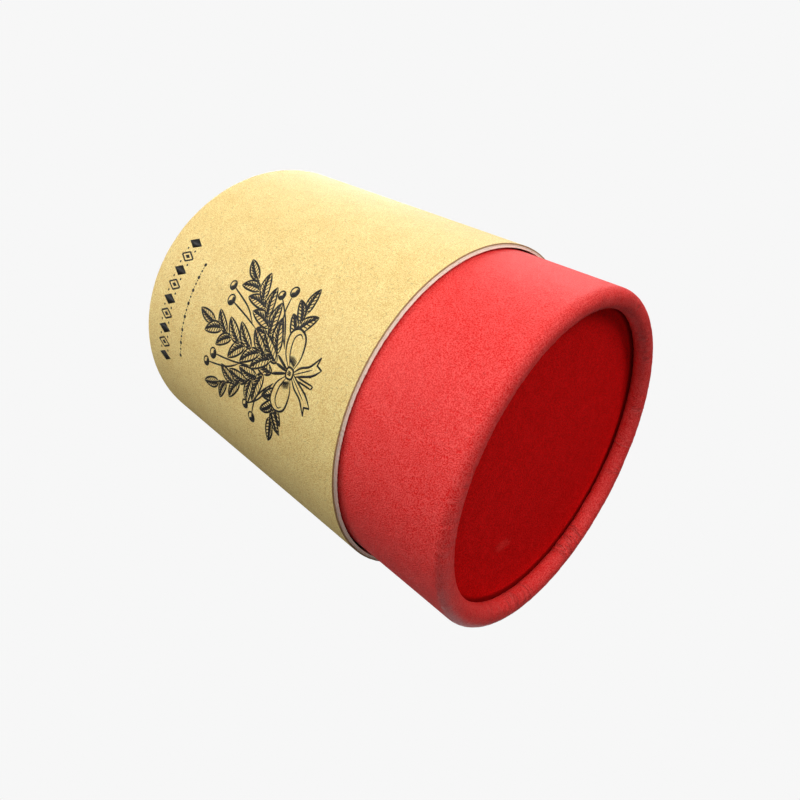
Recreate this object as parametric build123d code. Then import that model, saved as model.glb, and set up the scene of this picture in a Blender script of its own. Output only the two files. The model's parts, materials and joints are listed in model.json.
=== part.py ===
from build123d import *
import os

# Cylindrical gift tube box, standing on its red end: a long lid tube that slides down over a base tube.
# Millimetres. The origin is on the axis where the base's rim meets the ground, and +Z is up the axis.

# Overall sizes
lid_outer_radius = 42.0
total_height = 110.5
band_height = 28.4          # base wall that shows below the lid's mouth

# Wall layers, from the outside in, each glued to the next
wrap_paper = 0.15
board_ply = 0.18
liner_card = 0.37
glue_line = 0.04
liner_seat = 0.1            # gap between the liner's far edge and the closed end that it runs down to

# End discs, from the outside in
facing_paper = 0.15
disc_board = 1.4
lining_paper = 0.11

# Rolled rims: each wall is curled inward into a bead, and its disc is glued behind the bead
lid_curl_radius = 3.3
base_curl_radius = 2.3
curl_flat = 0.4             # crest of a bead, pressed flat by the curling die
curl_turn = 285             # degrees of roll, from the wall's outside round to the cut edge

# Fit
sliding_clearance = 0.5     # radial gap between the lid's bore and the base's outside

ROLLED_LAYERS = (
    ("outer_wrap", wrap_paper),
    ("outer_board_ply", board_ply),
    ("inner_board_ply", board_ply),
)
DISC_LAYERS = (
    ("disc_facing", facing_paper),
    ("disc_board", disc_board),
    ("disc_lining", lining_paper),
)

ON_ITS_END = (Align.CENTER, Align.CENTER, Align.MIN)

rolled_wall = wrap_paper + 2 * board_ply + 2 * glue_line
wall = rolled_wall + glue_line + liner_card
lid_inner_radius = lid_outer_radius - wall
base_outer_radius = lid_inner_radius - sliding_clearance


def disc_stack(curl_radius):
    """Return (name, near face, far face) of each disc layer, measured inward from the bead's crest."""
    face = 2 * curl_radius + glue_line
    layers = []
    for name, thickness in DISC_LAYERS:
        layers.append((name, face, face + thickness))
        face += thickness + glue_line
    return layers


def stack_depth(curl_radius):
    """Depth from a bead's crest to the inside of its closed end."""
    return disc_stack(curl_radius)[-1][2]


def wall_layer(outer_radius, length, curl_radius, skin, thickness):
    """One layer of a curled tube that lies skin deep in its wall: crest at zero, open mouth at length."""
    outside = curl_radius - skin
    inside = outside - thickness
    centre = outer_radius - curl_radius
    roll_centre = centre - curl_flat
    roll = curl_turn - 90
    with BuildPart() as layer:
        with BuildSketch(Plane.XZ):
            with BuildLine():
                Line((centre + outside, length), (centre + outside, curl_radius))
                CenterArc((centre, curl_radius), outside, 0, -90)
                Line((centre, skin), (roll_centre, skin))
                outer_roll = CenterArc((roll_centre, curl_radius), outside, -90, -roll)
                inner_roll = CenterArc((roll_centre, curl_radius), inside, -90, -roll)
                Line(outer_roll @ 1, inner_roll @ 1)
                Line((roll_centre, skin + thickness), (centre, skin + thickness))
                CenterArc((centre, curl_radius), inside, 0, -90)
                Line((centre + inside, curl_radius), (centre + inside, length))
                Line((centre + inside, length), (centre + outside, length))
            make_face()
        revolve(axis=Axis.Z)
    return layer.part


def tube(outer_radius, length, curl_radius):
    """The glued layers of one curled tube, by layer name. The liner runs only from the mouth to the disc."""
    layers = {}
    skin = 0
    for name, thickness in ROLLED_LAYERS:
        layers[name] = wall_layer(outer_radius, length, curl_radius, skin, thickness)
        skin += thickness + glue_line
    layers["inner_liner"] = liner(outer_radius - wall, stack_depth(curl_radius) + liner_seat, length)
    return layers


def liner(bore_radius, near, far):
    """The card liner of a bore, between two heights."""
    sheet = Cylinder(bore_radius + liner_card, far - near, align=ON_ITS_END)
    sheet -= Cylinder(bore_radius, far - near, align=ON_ITS_END)
    return Pos(0, 0, near) * sheet


def closed_end(outer_radius, curl_radius):
    """The glued layers of one end disc, by layer name, behind a bead whose crest is at zero."""
    radius = outer_radius - rolled_wall - glue_line
    layers = {}
    for name, near, far in disc_stack(curl_radius):
        plate = Cylinder(radius, far - near, align=ON_ITS_END)
        layers[name] = Pos(0, 0, near) * plate
    return layers


def base():
    """The base stands on its bead, and its mouth stops against the lining inside the lid."""
    length = total_height - stack_depth(lid_curl_radius)
    return {**tube(base_outer_radius, length, base_curl_radius),
            **closed_end(base_outer_radius, base_curl_radius)}


def lid():
    """The lid is made the same way, turned mouth down over the base."""
    turned = Pos(0, 0, total_height) * Rot(180, 0, 0)
    length = total_height - band_height
    layers = {**tube(lid_outer_radius, length, lid_curl_radius),
              **closed_end(lid_outer_radius, lid_curl_radius)}
    return {name: turned * layer for name, layer in layers.items()}


def main():
    """Write one file for each piece."""
    os.makedirs("parts", exist_ok=True)
    for body, layers in (("base", base()), ("lid", lid())):
        for name, layer in layers.items():
            export_step(layer, f"parts/{body}_{name}.step")


main()
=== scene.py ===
"""Looks of a cylindrical gift tube box: a tall kraft lid tube over a red base tube, both with rolled rims.

The box stands on its red end. Lengths in the classes are millimetres, and meshes are made in metres.
"""

import json
import logging
import math
import random
from dataclasses import dataclass, field, replace
from enum import Enum
from typing import Callable

import bpy
import numpy as np
from mathutils import Matrix, Vector

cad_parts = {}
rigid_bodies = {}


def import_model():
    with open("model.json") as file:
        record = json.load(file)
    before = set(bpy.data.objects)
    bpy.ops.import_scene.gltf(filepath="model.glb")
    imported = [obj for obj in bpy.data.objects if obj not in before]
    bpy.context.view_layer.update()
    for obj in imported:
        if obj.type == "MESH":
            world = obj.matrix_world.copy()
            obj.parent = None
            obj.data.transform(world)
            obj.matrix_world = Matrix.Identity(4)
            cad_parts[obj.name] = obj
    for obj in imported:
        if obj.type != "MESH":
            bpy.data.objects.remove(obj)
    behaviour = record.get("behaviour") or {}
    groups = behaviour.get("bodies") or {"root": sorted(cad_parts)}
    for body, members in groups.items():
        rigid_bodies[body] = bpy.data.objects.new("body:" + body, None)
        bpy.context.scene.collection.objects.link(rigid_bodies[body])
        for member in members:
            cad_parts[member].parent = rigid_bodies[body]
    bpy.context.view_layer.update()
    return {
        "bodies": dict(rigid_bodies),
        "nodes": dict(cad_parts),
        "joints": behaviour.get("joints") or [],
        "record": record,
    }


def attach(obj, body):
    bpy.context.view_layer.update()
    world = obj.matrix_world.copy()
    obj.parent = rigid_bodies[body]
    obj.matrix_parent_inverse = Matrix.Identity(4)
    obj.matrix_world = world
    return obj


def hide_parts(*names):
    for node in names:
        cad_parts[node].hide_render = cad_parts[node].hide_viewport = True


MM = 0.001

Point = tuple[float, float]
Place = tuple[float, float, float]
Colour = tuple[float, float, float]
Piece = bpy.types.Object
Node = bpy.types.Node
Socket = bpy.types.NodeSocket
Sockets = bpy.types.bpy_prop_collection

log = logging.getLogger("gift_tube")


# Modelling by hand


def deselect_all() -> None:
    """Leave edit mode and deselect every object."""
    if bpy.context.object and bpy.context.object.mode != "OBJECT":
        bpy.ops.object.mode_set(mode="OBJECT")
    bpy.ops.object.select_all(action="DESELECT")


def take_up(piece: Piece) -> None:
    """Make one object the selected and active one.

    Args:
        piece: the object to work on.
    """
    deselect_all()
    piece.select_set(True)
    bpy.context.view_layer.objects.active = piece


def lay_down(piece: Piece) -> None:
    """Apply an object's place, turn and scale to its mesh, so that it sits at the origin."""
    take_up(piece)
    bpy.ops.object.transform_apply(location=True, rotation=True, scale=True)


def pick_points(piece: Piece, test: Callable[[Vector], bool]) -> None:
    """Select the points of a mesh that pass a test, and go to edit mode.

    Args:
        piece: the mesh object, with its place applied.
        test: tells whether a point is picked.
    """
    take_up(piece)
    bpy.ops.object.mode_set(mode="EDIT")
    bpy.ops.mesh.select_mode(type="VERT")
    bpy.ops.mesh.select_all(action="DESELECT")
    bpy.ops.object.mode_set(mode="OBJECT")
    for point in piece.data.vertices:
        point.select = test(point.co)
    bpy.ops.object.mode_set(mode="EDIT")


def add_modifier(piece: Piece, kind: str, name: str, **values: object) -> None:
    """Add a modifier with the given values and apply it.

    Args:
        piece: the object that is changed.
        kind: Blender's type of the modifier.
        name: the modifier's name.
        **values: its settings.
    """
    take_up(piece)
    modifier = piece.modifiers.new(name, kind)
    for key, value in values.items():
        setattr(modifier, key, value)
    bpy.ops.object.modifier_apply(modifier=name)


def weigh(piece: Piece, name: str, weight: Callable[[Vector], float]) -> None:
    """Give each point of a mesh a weight in a vertex group.

    Args:
        piece: the mesh object.
        name: the group's name.
        weight: the weight at a place.
    """
    group = piece.vertex_groups.new(name=name)
    for point in piece.data.vertices:
        share = weight(point.co)
        if share > 0:
            group.add([point.index], min(share, 1.0), "REPLACE")


def smoothly(value: float, low: float, high: float) -> float:
    """Rise smoothly from 0 at low to 1 at high."""
    t = min(max((value - low) / (high - low), 0.0), 1.0)
    return t * t * (3 - 2 * t)


def face_outwards(piece: Piece, doubles: float) -> None:
    """Merge a mesh's doubles and turn its faces one way.

    Args:
        piece: the mesh object.
        doubles: distance within which points are merged, in metres.
    """
    pick_points(piece, lambda place: True)
    bpy.ops.mesh.remove_doubles(threshold=doubles)
    bpy.ops.mesh.normals_make_consistent(inside=False)
    bpy.ops.object.mode_set(mode="OBJECT")


# The rolled and plain sheets of the two tubes


class End(Enum):
    """Which way a tube's closed end points."""

    DOWN = 1
    UP = -1


@dataclass(frozen=True)
class Tube:
    """What all sheets of one tube share: its heights, its wall's radius and the roll of its rim."""

    body: str
    closed_end: End
    wall_radius: float
    crest: float
    mouth: float
    curl_radius: float
    liner_end: float
    curl_flat: float = 0.4
    curl_turn: float = 285.0


@dataclass
class Sheet:
    """A sheet of paper or board wound into a tube, with its cut edge at the mouth.

    The sheet's own map gives each point the distance round the tube from the front, and the distance from
    the mouth along the sheet, both in millimetres.
    """

    name: str
    node: str
    slot: str
    tube: Tube
    outside: float
    thickness: float
    recess: float = 0.0
    fray_depth: float = 0.3
    columns: int = 720
    lip_rows: int = 3
    lip_row: float = 0.003
    wall_rows: int = 12
    seam: float = math.pi / 2
    lip: float = 0.6
    lip_margin: float = 0.02
    fray_grain: float = 0.8
    fray_reach: float = 0.7
    smooth_below: float = math.radians(40)

    def build(self) -> Piece:
        """Model the sheet and return it, riding on its tube.

        Returns:
            The finished mesh object.
        """
        piece = self.wall()
        self.map_sheet(piece)
        self.fray(piece)
        self.dent(piece)
        add_modifier(piece, "SOLIDIFY", "thickness", thickness=self.thickness * MM, offset=-1.0,
                     use_even_offset=True, use_rim=True)
        self.ease_lip(piece)
        take_up(piece)
        bpy.ops.object.shade_smooth_by_angle(angle=self.smooth_below)
        piece.vertex_groups.clear()
        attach(piece, self.tube.body)
        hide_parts(self.node)
        return piece

    @property
    def cut(self) -> float:
        """Height of this sheet's cut edge."""
        return self.tube.mouth - self.tube.closed_end.value * self.recess

    def ease_lip(self, piece: Piece) -> None:
        """Round the outer edge of the cut, where the knife has pressed the sheet.

        Args:
            piece: the sheet, with its thickness.
        """
        skin, depth = self.outside - self.lip_margin, self.fray_depth + self.lip_margin
        pick_points(piece, lambda place: place.xy.length / MM > skin and self.along(place) < depth)
        bpy.ops.mesh.select_mode(type="EDGE")
        bpy.ops.mesh.bevel(offset=self.thickness * self.lip * MM, segments=2, profile=0.5, affect="EDGES")
        bpy.ops.mesh.select_mode(type="VERT")
        bpy.ops.object.mode_set(mode="OBJECT")

    def wall(self) -> Piece:
        """Model the plain wall by extruding a ring from the mouth towards the closed end.

        Returns:
            An open tube one face thick.
        """
        deselect_all()
        bpy.ops.mesh.primitive_circle_add(
            vertices=self.columns, radius=self.outside * MM, fill_type="NOTHING",
            location=(0, 0, self.cut * MM))
        piece = bpy.context.object
        piece.name = piece.data.name = self.name
        lay_down(piece)
        pick_points(piece, lambda place: True)
        step = (self.tube.liner_end - self.cut) * MM
        for share in self.row_shares():
            bpy.ops.mesh.extrude_edges_move(TRANSFORM_OT_translate={"value": (0, 0, step * share)})
        self.show_outside(piece)
        return piece

    def row_shares(self) -> list[float]:
        """Return the height of each row of faces as a share of the wall, finer near the mouth."""
        fine = [self.lip_row] * self.lip_rows
        return fine + [(1 - sum(fine)) / self.wall_rows] * self.wall_rows

    def show_outside(self, piece: Piece) -> None:
        """Turn every face of the open tube away from the axis on the wall.

        Args:
            piece: the tube.
        """
        face_outwards(piece, 1e-7)
        face = max(piece.data.polygons, key=lambda f: f.center.xy.length)
        if face.normal.xy.dot(face.center.xy) < 0:
            pick_points(piece, lambda place: True)
            bpy.ops.mesh.flip_normals()
            bpy.ops.object.mode_set(mode="OBJECT")

    def along(self, place: Vector) -> float:
        """Return the distance from the mouth along the sheet, in millimetres."""
        return abs(place.z / MM - self.cut)

    def map_sheet(self, piece: Piece) -> None:
        """Lay the sheet's own map on the mesh, parted at the seam, and a stretched copy for the creases.

        Args:
            piece: the sheet, one face thick.
        """
        mesh = piece.data
        sheet = mesh.uv_layers.new(name="sheet")
        crease = mesh.uv_layers.new(name="crease")
        places = np.array([point.co for point in mesh.vertices])
        along = np.array([self.along(point.co) for point in mesh.vertices])
        corners = np.array([loop.vertex_index for loop in mesh.loops])
        sides = [face.loop_total for face in mesh.polygons]
        middles = np.repeat([face.center for face in mesh.polygons], sides, axis=0)
        turn = (np.arctan2(places[corners, 1], places[corners, 0]) - self.seam) % math.tau
        middle = (np.arctan2(middles[:, 1], middles[:, 0]) - self.seam) % math.tau
        turn += np.where(abs(turn - middle) > math.pi, np.where(turn < middle, math.tau, -math.tau), 0.0)
        arc = (turn - math.pi) * self.outside
        for layer, across, down in ((sheet, 1.0, 1.0), (crease, 0.5, 0.06)):
            layer.data.foreach_set("uv", np.column_stack([arc * across, along[corners] * down]).ravel())
        mesh.uv_layers.active = sheet
        sheet.active_render = True

    def fray(self, piece: Piece) -> None:
        """Make the cut edge slightly uneven, never past its true height.

        Args:
            piece: the sheet, with its map.
        """
        grain = bpy.data.textures.new(self.name + "_fray", "CLOUDS")
        grain.noise_scale = self.fray_grain
        grain.noise_depth = 3
        grain.noise_type = "SOFT_NOISE"
        weigh(piece, "mouth", lambda place: 1 - smoothly(self.along(place), 0.0, self.fray_reach))
        add_modifier(piece, "DISPLACE", "fray", texture=grain, texture_coords="UV", uv_layer="sheet",
                     direction="Z", mid_level=0.0, vertex_group="mouth",
                     strength=self.fray_depth * MM * self.tube.closed_end.value * -1)

    def dent(self, piece: Piece) -> None:
        """Shape the sheet further; a plain sheet stays smooth."""


@dataclass(frozen=True)
class Folds:
    """A pattern of folds that the rolling presses into a bead.

    Their depth is a share of the bead's crease depth, and their size is measured along the rim. A fold begins
    at the given level of the pattern. The folds set in some way before the roll, and reach their full depth
    so many roll radii into it.
    """

    name: str
    depth: float
    size: float
    level: float
    before: float
    radii: float
    deepest: float = 0.78


CREASES = Folds("crease", depth=1.0, size=0.42, level=0.5, before=1.0, radii=2.2)
BUCKLES = Folds("buckle", depth=0.9, size=1.5, level=0.45, before=2.5, radii=1.6)


@dataclass
class RolledSheet(Sheet):
    """A sheet whose far end is rolled into the rim's bead: a quarter turn, a short flat, and the rest."""

    skin: float = 0.0
    arc_steps: int = 48
    crease_depth: float = 0.0
    lap_depth: float = 0.0
    lap_width: float = 9.0
    past_quarter: float = 91.0

    def wall(self) -> Piece:
        """Model the sheet's section from a circle, draw its wall up to the mouth, and turn it round the axis.

        Returns:
            An open tube one face thick.
        """
        tube = self.tube
        up = tube.closed_end.value
        deselect_all()
        bpy.ops.mesh.primitive_circle_add(
            vertices=self.arc_steps, radius=self.roll_radius * MM, fill_type="NOTHING",
            location=((tube.wall_radius - tube.curl_radius) * MM, 0, self.roll_height * MM),
            rotation=(math.pi / 2, 0, 0))
        piece = bpy.context.object
        piece.name = piece.data.name = self.name
        lay_down(piece)
        pick_points(piece, lambda place: self.turned(place) > tube.curl_turn + 1)
        bpy.ops.mesh.delete(type="VERT")
        bpy.ops.object.mode_set(mode="OBJECT")
        pick_points(piece, lambda place: self.turned(place) > self.past_quarter)
        bpy.ops.transform.translate(value=(-tube.curl_flat * MM, 0, 0))
        bpy.ops.object.mode_set(mode="OBJECT")
        tip = Vector((self.outside, 0, self.roll_height)) * MM
        for share in self.row_shares()[::-1]:
            step = Vector((0, 0, up * self.sheet_length * share)) * MM
            pick_points(piece, lambda place, tip=tip: (place - tip).length < 5e-6)
            bpy.ops.mesh.extrude_vertices_move(TRANSFORM_OT_translate={"value": step})
            bpy.ops.object.mode_set(mode="OBJECT")
            tip = tip + step
        add_modifier(piece, "SCREW", "turn", axis="Z", angle=math.tau, screw_offset=0.0, steps=self.columns,
                     render_steps=self.columns, use_merge_vertices=True, merge_threshold=1e-6)
        self.show_outside(piece)
        return piece

    @property
    def sheet_length(self) -> float:
        """Length of the straight wall from the cut mouth to where the roll begins."""
        return abs(self.cut - self.tube.crest) - self.tube.curl_radius

    @property
    def roll_radius(self) -> float:
        """Radius of this sheet's outer side in the roll."""
        return self.tube.curl_radius - self.skin

    @property
    def roll_height(self) -> float:
        """Height of the middle of the roll."""
        return self.tube.crest + self.tube.closed_end.value * self.tube.curl_radius

    def turned(self, place: Vector) -> float:
        """Return how far a point of the section lies round the roll.

        Args:
            place: the point, before the flat is drawn out.

        Returns:
            The turn from the wall, in degrees.
        """
        across = place.xy.length / MM - (self.tube.wall_radius - self.tube.curl_radius)
        down = (self.roll_height - place.z / MM) * self.tube.closed_end.value
        return (math.degrees(math.atan2(down, across)) + 0.5) % 360 - 0.5

    def on_wall(self, place: Vector) -> bool:
        """Tell whether a point lies on the straight wall."""
        above = (place.z / MM - self.roll_height) * self.tube.closed_end.value
        return above > 1e-3 and place.xy.length / MM > self.tube.wall_radius - self.skin - 0.05

    def along(self, place: Vector) -> float:
        """Return the distance from the mouth along the wall and round the roll.

        Args:
            place: a point of the sheet.

        Returns:
            The distance in millimetres.
        """
        if self.on_wall(place):
            return super().along(place)
        across = place.xy.length / MM - (self.tube.wall_radius - self.tube.curl_radius)
        down = (self.roll_height - place.z / MM) * self.tube.closed_end.value
        turn = math.degrees(math.atan2(down, across)) % 360
        if turn > 90 or turn < -1:
            turn = math.degrees(math.atan2(down, across + self.tube.curl_flat)) % 360
        if turn > 350:
            turn = 0.0
        flat = self.tube.curl_flat if turn > self.past_quarter else 0.0
        return self.sheet_length + math.radians(turn) * self.roll_radius + flat

    def dent(self, piece: Piece) -> None:
        """Press the folds of the rolling into the bead, and the step of the lap at the back.

        Args:
            piece: the sheet, one face thick.
        """
        if self.crease_depth:
            for folds in (CREASES, BUCKLES):
                self.press(piece, folds)
        if self.lap_depth:
            level = bpy.data.textures.new(self.name + "_lap", "BLEND")
            level.use_color_ramp = True
            for stop in level.color_ramp.elements:
                stop.color = (0, 0, 0, 1)
            self.sink(piece, "lap", level, "sheet", self.lap_depth, self.lap_weight)

    def press(self, piece: Piece, folds: Folds) -> None:
        """Press one pattern of folds across the roll into the sheet.

        Args:
            piece: the sheet.
            folds: the pattern.
        """
        pattern = bpy.data.textures.new(f"{self.name}_{folds.name}", "CLOUDS")
        pattern.noise_scale = folds.size
        pattern.noise_depth = 1
        pattern.use_color_ramp = True
        smooth, deep = pattern.color_ramp.elements
        smooth.position, smooth.color = folds.level, (1, 1, 1, 1)
        deep.position, deep.color = folds.deepest, (0, 0, 0, 1)
        low = self.sheet_length - folds.before
        high = self.sheet_length + self.roll_radius * folds.radii
        self.sink(piece, folds.name, pattern, "crease", self.crease_depth * folds.depth,
                  lambda place: smoothly(self.along(place), low, high))

    def sink(self, piece: Piece, name: str, pattern: bpy.types.Texture, layer: str, depth: float,
             weight: Callable[[Vector], float]) -> None:
        """Press a pattern into the sheet, inwards only.

        Args:
            piece: the sheet.
            name: name of the mark.
            pattern: the pattern, white where the sheet stays as it is.
            layer: the map on which the pattern lies.
            depth: depth of the mark, in millimetres.
            weight: where the mark is pressed in.
        """
        weigh(piece, name, weight)
        add_modifier(piece, "DISPLACE", name, texture=pattern, texture_coords="UV", uv_layer=layer,
                     direction="NORMAL", mid_level=1.0, vertex_group=name, strength=depth * MM)

    def lap_weight(self, place: Vector) -> float:
        """Return how far the paper is pressed down beside the lap.

        Args:
            place: a point of the sheet.

        Returns:
            1 just beyond the lap's cut edge, fading round the tube, and 0 on the lap itself.
        """
        turn = (math.atan2(place.y, place.x) - self.seam) % math.tau * self.outside
        if turn < 1e-3 or turn > self.lap_width:
            return 0.0
        return 1 - smoothly(turn, self.lap_width * 0.3, self.lap_width)


# Drawing the print on the flat

STEM_PEN, OUTLINE_PEN, STALK_PEN, BERRY_PEN = 0.42, 0.3, 0.26, 0.24
VEIN_PEN, FOLD_PEN, SHADING_PEN = 0.17, 0.16, 0.14
PITCH = 0.3


class PenEnds(Enum):
    """How a printed line ends."""

    TAPERED = "tapered"
    BLUNT = "blunt"
    POINTED = "pointed"


@dataclass
class Line:
    """A printed line on the flat sheet: its points and its full width, in millimetres."""

    points: list[Point]
    width: float
    ends: PenEnds = PenEnds.TAPERED


@dataclass
class Motif:
    """Lines that belong together, and the outline that hides what lies behind them."""

    lines: list[Line] = field(default_factory=list)
    cover: list[Point] | None = None


def even_curve(knots: list[Point], closed: bool = False, steps: int = 8) -> list[Point]:
    """Draw an even curve through a few points.

    Args:
        knots: the points that the curve goes through.
        closed: whether it returns to its first point.
        steps: points on the curve for each knot.

    Returns:
        The points of the curve.
    """
    count = len(knots)
    curve: list[Point] = []
    for span in range(count if closed else count - 1):
        if closed:
            quad = [knots[(span + k) % count] for k in (-1, 0, 1, 2)]
        else:
            quad = [knots[min(max(span + k, 0), count - 1)] for k in (-1, 0, 1, 2)]
        for step in range(steps):
            t = step / steps
            curve.append(tuple(
                0.5 * (2 * b + (c - a) * t + (2 * a - 5 * b + 4 * c - d) * t * t
                       + (3 * b - a - 3 * c + d) * t ** 3) for a, b, c, d in zip(*quad)))
    if not closed:
        curve.append(knots[-1])
    return curve


def inside(point: Point, outline: list[Point]) -> bool:
    """Tell whether a point lies inside a closed outline.

    Args:
        point: the point.
        outline: the outline's corners.

    Returns:
        Whether a line to the right of the point crosses the outline an odd number of times.
    """
    x, y = point
    hit = False
    for (ax, ay), (bx, by) in zip(outline, outline[1:] + outline[:1]):
        if (ay > y) != (by > y) and x < (bx - ax) * (y - ay) / (by - ay) + ax:
            hit = not hit
    return hit


def reach(outline: list[Point]) -> tuple[float, float, float, float]:
    """Return an outline's least and greatest x, then its least and greatest y."""
    across, up = zip(*outline)
    return min(across), max(across), min(up), max(up)


def hides(cover: list[Point], box: tuple[float, float, float, float], point: Point) -> bool:
    """Tell whether a point lies inside a cover that reaches over the given box."""
    return box[0] <= point[0] <= box[1] and box[2] <= point[1] <= box[3] and inside(point, cover)


def dense(points: list[Point], pitch: float) -> list[Point]:
    """Divide a line into short steps.

    Args:
        points: the line's points.
        pitch: the most that neighbouring points may lie apart.

    Returns:
        The line's points with the new ones between them.
    """
    out = [points[0]]
    for (ax, ay), (bx, by) in zip(points, points[1:]):
        parts = max(1, math.ceil(math.hypot(bx - ax, by - ay) / pitch))
        out += [(ax + (bx - ax) * k / parts, ay + (by - ay) * k / parts) for k in range(1, parts + 1)]
    return out


def visible_lines(motifs: list[Motif], pitch: float = PITCH) -> list[Line]:
    """Leave out the stretches of each line that a later motif covers.

    Args:
        motifs: the motifs, from the back to the front.
        pitch: the most that neighbouring points lie apart.

    Returns:
        The lines that show.
    """
    shown: list[Line] = []
    for index, motif in enumerate(motifs):
        covers = [(later.cover, reach(later.cover)) for later in motifs[index + 1:] if later.cover]
        for line in motif.lines:
            run: list[Point] = []
            for point in dense(line.points, pitch) + [None]:
                if point is not None and not any(hides(cover, box, point) for cover, box in covers):
                    run.append(point)
                    continue
                if len(run) > 2:
                    shown.append(Line(run, line.width, line.ends))
                run = []
    return shown


@dataclass
class Leaf:
    """A pointed leaf with a midrib, side veins and one half shaded with fine lines.

    The blade's numbers are the powers of its taper at the foot and at the tip, and its greatest value.
    """

    foot: Point
    heading: float
    length: float
    width: float
    bend: float = 0.1
    veins: int = 6
    shaded_side: int = 1
    blade: Place = (0.7, 0.9, 0.334)

    def edge(self, t: float, side: int, share: float = 1.0) -> Point:
        """Return a point of the blade.

        Args:
            t: share of the leaf's length.
            side: 1 for its left half, -1 for its right half.
            share: 0 on the midrib, 1 on the edge.

        Returns:
            The point on the flat sheet.
        """
        foot, tip, greatest = self.blade
        half = self.width / 2 * (t ** foot * (1 - t) ** tip) / greatest if 0 < t < 1 else 0.0
        across = self.bend * self.length * math.sin(math.pi * t) + side * share * half
        c, s = math.cos(self.heading), math.sin(self.heading)
        forward = t * self.length
        return (self.foot[0] + forward * c - across * s, self.foot[1] + forward * s + across * c)

    def side_line(self, root: float, side: int, reach: float) -> list[Point]:
        """Return a vein that leaves the midrib at root and leans towards the tip."""
        return [self.edge(min(root + 0.13 * k / 4, 0.985), side, reach * k / 4) for k in range(5)]

    def motif(self) -> Motif:
        """Draw the leaf.

        Returns:
            Its lines and outline.
        """
        steps = [k / 16 for k in range(17)]
        left, right = ([self.edge(t, side) for t in steps] for side in (1, -1))
        midrib = [self.edge(t * 0.96, 1, 0.0) for t in steps]
        lines = [Line(part, OUTLINE_PEN) for part in (left, right, midrib)]
        pitch = 0.82 / self.veins
        for side in (-1, 1):
            for vein in range(self.veins):
                root = 0.07 + vein * pitch
                lines.append(Line(self.side_line(root, side, 0.86), VEIN_PEN))
                if side == self.shaded_side:
                    lines += [Line(self.side_line(root + extra * pitch, side, 0.62), SHADING_PEN)
                              for extra in (0.3, 0.6)]
        return Motif(lines, left + right[::-1])


@dataclass
class Berry:
    """A round berry at the end of its stalk, inked but for a bright spot."""

    stalk: list[Point]
    radius: float

    def motif(self) -> Motif:
        """Draw the berry and its stalk.

        Returns:
            Its lines and outline.
        """
        ring = self.arc(1.0, 0, 20)
        lines = [Line(ring + ring[:2], BERRY_PEN, PenEnds.BLUNT), Line(even_curve(self.stalk), STALK_PEN)]
        lines += [Line(self.arc(share, 6, 20), 0.34 * self.radius) for share in (0.62, 0.36)]
        return Motif(lines, ring)

    def arc(self, share: float, first: int, last: int) -> list[Point]:
        """Draw an arc about the berry's middle.

        Args:
            share: its radius as a share of the berry's.
            first: where it begins, in twentieths of a turn.
            last: where it ends.

        Returns:
            The arc's points.
        """
        x, y = self.stalk[-1]
        turns = [k * math.tau / 20 + 0.2 for k in range(first, last)]
        return [(x + self.radius * share * math.cos(a), y + self.radius * share * math.sin(a)) for a in turns]


@dataclass
class Sprig:
    """A leafy stem with leaves on both sides by turns and one at the tip."""

    stem: list[Point]
    leaves: int
    first_share: float
    long_leaf: float
    short_leaf: float
    seed: int
    splay: float = 0.63
    stray: float = 0.12
    lengths: Point = (0.93, 1.07)
    widths: Point = (0.36, 0.42)

    def motifs(self) -> list[Motif]:
        """Draw the stem and its leaves.

        Returns:
            The stem, then the leaves from the tip down.
        """
        chance = random.Random(self.seed)
        path = even_curve(self.stem, steps=10)
        last = len(path) - 1
        tip = math.atan2(path[-1][1] - path[-4][1], path[-1][0] - path[-4][0])
        leaves = [Leaf(path[-1], tip, self.short_leaf * 1.1, self.short_leaf * 0.4, 0.04)]
        for number in range(self.leaves):
            share = self.first_share + (0.97 - self.first_share) * number / self.leaves
            at = int(share * last)
            side = 1 if number % 2 else -1
            ahead = path[min(at + 2, last)]
            heading = math.atan2(ahead[1] - path[at][1], ahead[0] - path[at][0])
            length = self.long_leaf + (self.short_leaf - self.long_leaf) * share
            length *= chance.uniform(*self.lengths)
            lean = side * (self.splay + chance.uniform(-self.stray, self.stray))
            leaves.insert(0, Leaf(path[at], heading + lean, length, length * chance.uniform(*self.widths),
                                  -side * 0.07, shaded_side=-side))
        return [Motif([Line(path, STEM_PEN)])] + [leaf.motif() for leaf in leaves[::-1]]


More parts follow.
